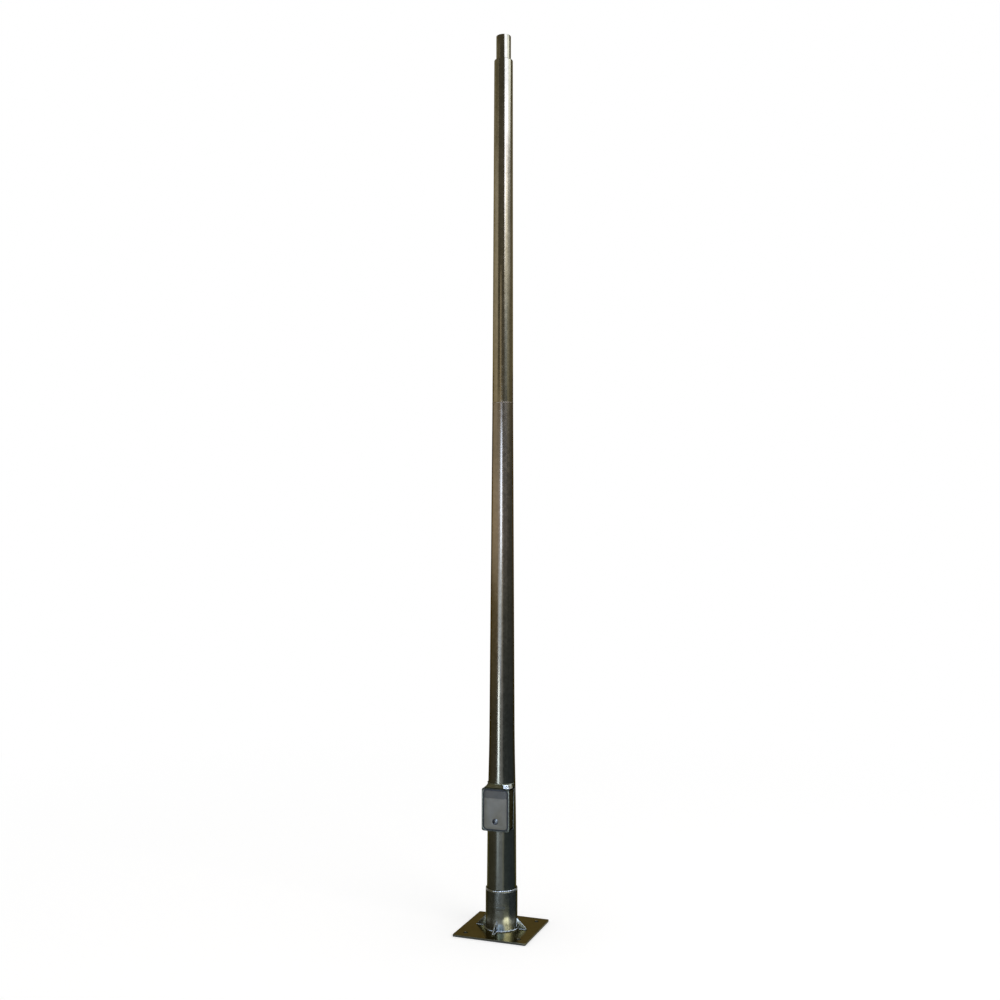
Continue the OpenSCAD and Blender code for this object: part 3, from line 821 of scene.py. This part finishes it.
def hood_section(t, inset):
    """The hood's outline a share t of the way up, drawn in by inset. Near its top it
    closes in quicker, like sheet pressed round the shaft."""
    z = LID_Z + (HOOD_HIGH.z - LID_Z) * t - inset * 0.6
    points = []
    for x, y in HOOD_FOOT:
        a, reach = math.atan2(x, -y), math.hypot(x, y)
        r = reach + (min(hood_r + 0.8 * MM, reach) - reach) * t ** 1.15 - inset
        points.append((r * math.sin(a), -r * math.cos(a), z))
    return points


outer = [hood_section(t / 6, 0) for t in range(7)]
inner = [hood_section(t / 6, HOOD_T) for t in range(6, -1, -1)]
rows = [[loop[i] for loop in outer + inner] for i in range(len(HOOD_FOOT))]
hood = skin("door_hood_sheet", rows)
applied(hood, [("BEVEL", {"width": 0.7 * MM, "segments": 2, "limit_method": "ANGLE",
                          "angle_limit": math.radians(50)})])
smooth(hood, 38)
dress(hood, zinc_frame, "column", "galvanised_steel", "door_hood")

# Weld beads on the shaft: up both sides of the frame, under it and round the hood's top
seams = []
for side in (-1, 1):
    x = side * (HALF_W + 0.4 * MM)
    seams.append([(x, -math.sqrt(max(shaft_r(z) ** 2 - x * x, 0)) - 0.4 * MM, z)
                  for z in [RIM_LOW.z + 4 * MM + i * 9 * MM for i in range(19)]])
low_z = DOOR_Z - BOX[1] / 2 - 0.6 * MM
seams.append([(x, -math.sqrt(shaft_r(low_z) ** 2 - x * x) - 0.6 * MM, low_z)
              for x in [-54 * MM + i * 4.5 * MM for i in range(25)]])
bead_r = hood_r + 1.2 * MM
seams.append([(bead_r * math.sin(a), -bead_r * math.cos(a), HOOD_HIGH.z - 0.5 * MM)
              for a in [math.radians(-74 + i * 4) for i in range(38)]])
# Zinc runs over the hood's right shoulder: real bead relief, painted pale as the hood's
# highlight there
shoulder = [[p for p in hood_section(t, -1.2 * MM)
             if 22 < math.degrees(math.atan2(p[0], -p[1])) < 64] for t in (0.2, 0.45, 0.7)]
hood_runs_and_painted_highlight = weld("hood_zinc_runs", shoulder, 2.4 * MM, ripple=7 * MM, stretch=1.4)
dress(hood_runs_and_painted_highlight, zinc_run_and_painted_highlight, "column", "weld_steel")
seam_beads = weld("frame_seam_beads", seams, 2.1 * MM, ripple=2.8 * MM)
dress(seam_beads, zinc_frame, "column", "weld_steel")

# Seal: a soft lip that stands on the landing plate
SEAL_LOW, SEAL_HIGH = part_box("door_gasket")
SEAL = (SEAL_HIGH.x - SEAL_LOW.x, SEAL_HIGH.z - SEAL_LOW.z)
SEAL_R, SEAL_EDGE = 16.5 * MM, 1.2 * MM
seal_loops = [upright(SEAL, SEAL_R, SEAL_HIGH.y)]
seal_loops += rim_curve(SEAL, SEAL_R, SEAL_EDGE, SEAL_LOW.y, 1)[::-1]
seal_loops += rim_curve(LAND, LAND_R, SEAL_EDGE, SEAL_LOW.y, -1)
seal_loops.append(upright(LAND, LAND_R, SEAL_HIGH.y))
seal = skin("door_seal_lip", seal_loops, ring=True)
smooth(seal, 40)
dress(seal, epdm_seal, "column", "gasket_rubber", "door_gasket")


# ---------------------------------------------------------------- door

# Width and height of the cover's panel, raised field and skirt behind
PANEL, PANEL_R = (94 * MM, 150 * MM), 12 * MM
FIELD, FIELD_R, FIELD_MID = (84 * MM, 115 * MM), 7 * MM, -12.5 * MM
SKIRT, SKIRT_R = (78 * MM, 134 * MM), 4 * MM
COVER_BACK = COVER_FRONT + 4.2 * MM
PANEL_FRONT = COVER_BACK - 3 * MM
SKIRT_BACK = COVER_HIGH.y

# The field's edge, from its face down to the panel: (drawn in, depth)
FIELD_EDGE = ((1.0 * MM, COVER_FRONT), (0.45 * MM, COVER_FRONT + 0.12 * MM),
              (0.12 * MM, COVER_FRONT + 0.45 * MM), (0.0, PANEL_FRONT - 0.15 * MM),
              (-0.4 * MM, PANEL_FRONT))
loops = [upright(FIELD, FIELD_R - inset, y, less=2 * inset, mid=FIELD_MID)
         for inset, y in FIELD_EDGE]
loops += rim_curve(PANEL, PANEL_R, 1.5 * MM, PANEL_FRONT, 1)
loops += [upright(PANEL, PANEL_R, COVER_BACK - 0.5 * MM),
          upright(PANEL, PANEL_R - 0.5 * MM, COVER_BACK, less=1 * MM),
          upright(SKIRT, SKIRT_R, COVER_BACK),
          upright(SKIRT, SKIRT_R, SKIRT_BACK - 0.5 * MM),
          upright(SKIRT, SKIRT_R - 0.5 * MM, SKIRT_BACK, less=1 * MM),
          upright(SKIRT, 1.5 * MM, SKIRT_BACK, less=5 * MM),
          upright(SKIRT, 1 * MM, SKIRT_BACK - 0.5 * MM, less=6 * MM),
          upright(SKIRT, 1 * MM, COVER_BACK, less=6 * MM)]
cover = skin("door_cover_panel", loops)

# The cup's seat goes right through; behind the panel the skirt is cleared for the cam
SEAT_R, CAM_ROOM_R, CAM_ROOM_Y = 12.1 * MM, 34.2 * MM, -66.7 * MM
for r, front in ((SEAT_R, COVER_FRONT - 1 * MM), (CAM_ROOM_R, CAM_ROOM_Y)):
    cut(cover, skin("lock_cutter", [[(x, y, LOCK_Z + z) for x, z, _ in circle(r, 0, 64)]
                                    for y in (front, SKIRT_BACK + 1 * MM)]))
applied(cover, [("BEVEL", {"width": 0.35 * MM, "segments": 2, "limit_method": "ANGLE",
                           "angle_limit": math.radians(60)})])
smooth(cover, 38)
dress(cover, polyester_cover, "door", "cover_plastic", "door_cover")

for side in ("left", "right"):
    hook = softened("cover_hook_" + side, "hook_" + side, 0.6 * MM)
    smooth(hook)
    dress(hook, zinc_plated, "door", "zinc_steel", "hook_" + side)

cup = softened("lock_cup_moulding", "lock_cup", 0.4 * MM, angle=50)
smooth(cup, 40)
dress(cup, nylon_cup, "door", "cup_plastic", "lock_cup")

for node, name in (("lock_bolt", "lock_key_head"), ("lock_cam", "lock_cam_blade"),
                   ("lock_nut", "lock_hex_nut")):
    piece = softened(name, node, 0.45 * MM, angle=40)
    smooth(piece, 40)
    dress(piece, zinc_plated, "lock", "zinc_steel", node)


# ---------------------------------------------------------------- backdrop, floor, light

def backdrop_rays(tree):
    """One for the rays that see the backdrop: camera, gloss and glass. Else none."""
    ray = add(tree, "ShaderNodeLightPath").outputs
    seen = add(tree, "ShaderNodeMath", {"operation": "MAXIMUM"},
               {0: ray["Is Camera Ray"], 1: ray["Is Glossy Ray"]})
    return add(tree, "ShaderNodeMath", {"operation": "MAXIMUM"},
               {0: seen, 1: ray["Is Transmission Ray"]})


world = bpy.data.worlds.new("pale_studio")
bpy.context.scene.world = world
world.use_nodes = True
tree = world.node_tree
tree.nodes.clear()
white = add(tree, "ShaderNodeBackground", {"Color": (1, 1, 1, 1)})
room = add(tree, "ShaderNodeBackground", {"Color": (1, 1, 1, 1), "Strength": 0.78})
mix = add(tree, "ShaderNodeMixShader", links={0: backdrop_rays(tree), 1: room, 2: white})
add(tree, "ShaderNodeOutputWorld", links={"Surface": mix})

floor_paint, tree, shader, place = new_material("matt_white_floor_paint")
shader.inputs["Base Color"].default_value = rgb("eeeeee")
shader.inputs["Roughness"].default_value = 0.9
shader.inputs["Specular IOR Level"].default_value = 0.0
# Lifted a little where it is seen, so that only the soft shadow is darker than white
seen = backdrop_rays(tree)
lift = add(tree, "ShaderNodeEmission", {"Strength": 0.3})
lift_seen = add(tree, "ShaderNodeMixShader", links={0: seen, 2: lift})
near_floor = add(tree, "ShaderNodeAddShader", links={0: shader, 1: lift_seen})
# Far from the column the floor turns into the backdrop, so that no horizon shows
reach = add(tree, "ShaderNodeVectorMath", {"operation": "LENGTH"}, {0: place})
far = add(tree, "ShaderNodeMapRange",
          {"interpolation_type": "SMOOTHSTEP", "From Min": 1.2, "From Max": 5.0},
          {"Value": reach.outputs["Value"]})
far = add(tree, "ShaderNodeMath", {"operation": "MULTIPLY"}, {0: far, 1: seen})
haze = add(tree, "ShaderNodeEmission")
faded = add(tree, "ShaderNodeMixShader", links={0: far, 1: near_floor, 2: haze})
feed(tree, tree.nodes["Material Output"], {"Surface": faded})
FLOOR_SIZE = 30
sweep = bpy.data.meshes.new("floor")
sweep.from_pydata(circle(FLOOR_SIZE, -0.5 * MM, 64), [], [tuple(range(64))])
floor = link("floor", sweep)
floor.data.materials.append(floor_paint)

CAMERA_TURN = math.radians(19.96)


def around(turn_deg, distance, z):
    """A place at an angle to the right of the camera's direction, from the column."""
    a = CAMERA_TURN + math.radians(turn_deg)
    return Vector((math.sin(a) * distance, -math.cos(a) * distance, z))


# One large soft lamp, high on the right; the zinc mirrors the panels and not the lamp
LAMP_Z = 4.2
soft_key = bpy.data.lights.new("soft_key", "AREA")
soft_key.size = 3.0
soft_key.energy = 55
soft_key.color = rgb("fffaf2")[:3]
lamp = link("soft_key", soft_key)
lamp.location = around(42, 5.0, LAMP_Z)
aim = Vector((0, 0, LAMP_Z)) - lamp.location
lamp.rotation_euler = aim.to_track_quat("-Z", "Y").to_euler()
lamp.visible_camera = False
lamp.visible_glossy = False


def panel(name, path, turns, tint, glow=1.0, steps=24):
    """A pale window or a dark wall of the studio as the zinc's gloss shows it: a path
    of (radius, height) points swept between two angles. Only glossy rays see it, so
    it adds no light to the floor or to the plastic."""
    low, high = turns
    points = [tuple(around(low + (high - low) * i / steps, r, z))
              for i in range(steps + 1) for r, z in path]
    n = len(path)
    mesh = bpy.data.meshes.new(name)
    mesh.from_pydata(points, [], [(i * n + j, (i + 1) * n + j, (i + 1) * n + j + 1,
                                   i * n + j + 1)
                                  for i in range(steps) for j in range(n - 1)])
    material = bpy.data.materials.new(name)
    material.use_nodes = True
    material.node_tree.nodes.clear()
    light = add(material.node_tree, "ShaderNodeEmission",
                {"Color": rgb(tint), "Strength": glow})
    add(material.node_tree, "ShaderNodeOutputMaterial", links={"Surface": light})
    mesh.materials.append(material)
    obj = link(name, mesh)
    for way in ("camera", "diffuse", "shadow", "transmission"):
        setattr(obj, "visible_" + way, False)


NEAR_R, FAR_R, PANE_R = 2.6, 40.0, 2.5
FLOOR_R, FLOOR_Z = 0.23, 0.004
# Far walls and windows: heights low to high, angles from right of the camera's
# direction, colour and glow. Bluish low on the right, grey high in the middle
for name, low, high, turns, tint, glow in (
        ("wall_right_low", 0.0, 6.0, (-4, 50), "95a2bc", 1.0),
        ("wall_right_near", 6.0, 11.5, (-4, 24), "95a2bc", 1.0),
        ("wall_right_dim", 6.0, 7.4, (24, 50), "6a768a", 1.7),
        ("wall_right_soft", 7.4, 9.2, (24, 50), "6a768a", 3.4),
        ("wall_right_lit", 9.2, 11.5, (24, 50), "7d8ba2", 4.4),
        ("wall_right_side", 6.0, 11.5, (50, 75), "a2a9ab", 1.8),
        ("wall_right_middle", 6.0, 11.5, (75, 125), "a6a79f", 1.0),
        ("wall_right_high", 11.5, 19.2, (92, 125), "a09f98", 1.0),
        ("wall_right_top", 19.2, 40.0, (100, 125), "a09f98", 1.0),
        ("wall_middle_high", 7.2, 40.0, (-60, 15), "83827c", 1.0),
        ("wall_left_top", 16.5, 25.0, (-112, -62), "b8b2a0", 1.0),
        ("wall_left_high", 25.0, 40.0, (-125, -60), "8f8a7a", 1.0),
        ("window_high", 17.0, 30.0, (15, 62), "c4d0f8", 11.8),
        ("window_high_top", 30.0, 80.0, (15, 52), "c4d0f8", 11.8),
        ("window_high_foot", 13.8, 17.0, (15, 30), "c4d0f8", 11.2),
        ("window_high_corner", 13.8, 17.0, (30, 52), "e0e8f8", 5.5),
        ("window_high_sill", 11.5, 13.8, (15, 52), "e4eaf4", 2.9),
        ("window_high_side", 17.0, 19.2, (62, 92), "dce8ff", 5.0),
        ("window_high_side_top", 19.2, 40.0, (62, 100), "dce8ff", 7.0),
        ("window_high_side_sill", 11.5, 17.0, (52, 75), "e4ecfa", 1.6),
        ("window_high_side_foot", 11.5, 17.0, (75, 92), "e4ecfa", 0.95)):
    panel(name, [(FAR_R, low), (FAR_R, high)], turns, tint, glow)
# Low window close by, in front
for name, low, high, turns, tint, glow in (
        ("window_low_top", 1.45, 2.25, (-22, -6), "a8c4ff", 15.0),
        ("window_low_middle", 0.75, 1.45, (-38, -8), "b4ccff", 5.0),
        ("window_low_foot", 0.12, 0.75, (-36, -24), "cfe0ff", 18.0),
        ("window_low_lintel", 2.25, 3.2, (-32, -18), "fffaf0", 1.0)):
    panel(name, [(PANE_R, low), (PANE_R, high)], turns, tint, glow)
panel("window_low_streak", [(0.9, 0.007), (PANE_R, 0.007), (PANE_R, 0.12)], (-38, -24),
      "d8e6ff", 2.6)
panel("window_low_glow", [(0.5, 0.006), (NEAR_R, 0.006), (NEAR_R, 2.25)], (-42, 5),
      "e2eaff", 1.3)
# Floor on the right, dim walls on the left, a brown wall behind and a dim ceiling
panel("wall_right_far", [(FLOOR_R, FLOOR_Z), (FAR_R, FLOOR_Z), (FAR_R, 6.0)], (50, 125),
      "707c8b")
panel("floor_right", [(0.5, FLOOR_Z), (FAR_R, FLOOR_Z)], (16, 50), "76838f")
panel("floor_right_near", [(FLOOR_R, FLOOR_Z), (0.5, FLOOR_Z)], (8, 50), "b4b69e")
panel("floor_right_far", [(2.7, FLOOR_Z), (FAR_R, FLOOR_Z)], (-4, 16), "76838f")
panel("wall_left_low", [(FLOOR_R, FLOOR_Z), (NEAR_R, FLOOR_Z), (NEAR_R, 0.55)],
      (-125, -42), "8f8a7a")
panel("wall_left_middle", [(NEAR_R, 0.55), (NEAR_R, 1.3)], (-125, -42), "b0a892")
panel("wall_behind", [(NEAR_R, FLOOR_Z), (NEAR_R, 2.6)], (125, 235), "a49877")
panel("ceiling", [(0.05, 9.0), (9.0, 9.0)], (62, 375), "a39c88", steps=48)
# Sunlit strip of floor close by, that the collar's foot shows
panel("floor_strip", [(0.205, 0.006), (0.3, 0.006)], (13, 45), "fffdea", 3.6)


# ---------------------------------------------------------------- camera

camera = link("camera", bpy.data.cameras.new("camera"))
bpy.context.scene.camera = camera
camera.data.sensor_width = 36.0
camera.data.lens = 41.4
camera.location = (1.5812, -4.3538, 1.566)
# It looks up a little, leans a little and aims just past the column's axis
pitch, roll, aim_turn = math.radians(1.77), math.radians(0.14), math.radians(0.127)
camera.rotation_euler = (math.pi / 2 + pitch, 0.0, CAMERA_TURN + aim_turn)
camera.rotation_euler.rotate_axis("Z", roll)

bpy.context.scene.view_settings.view_transform = "Standard"
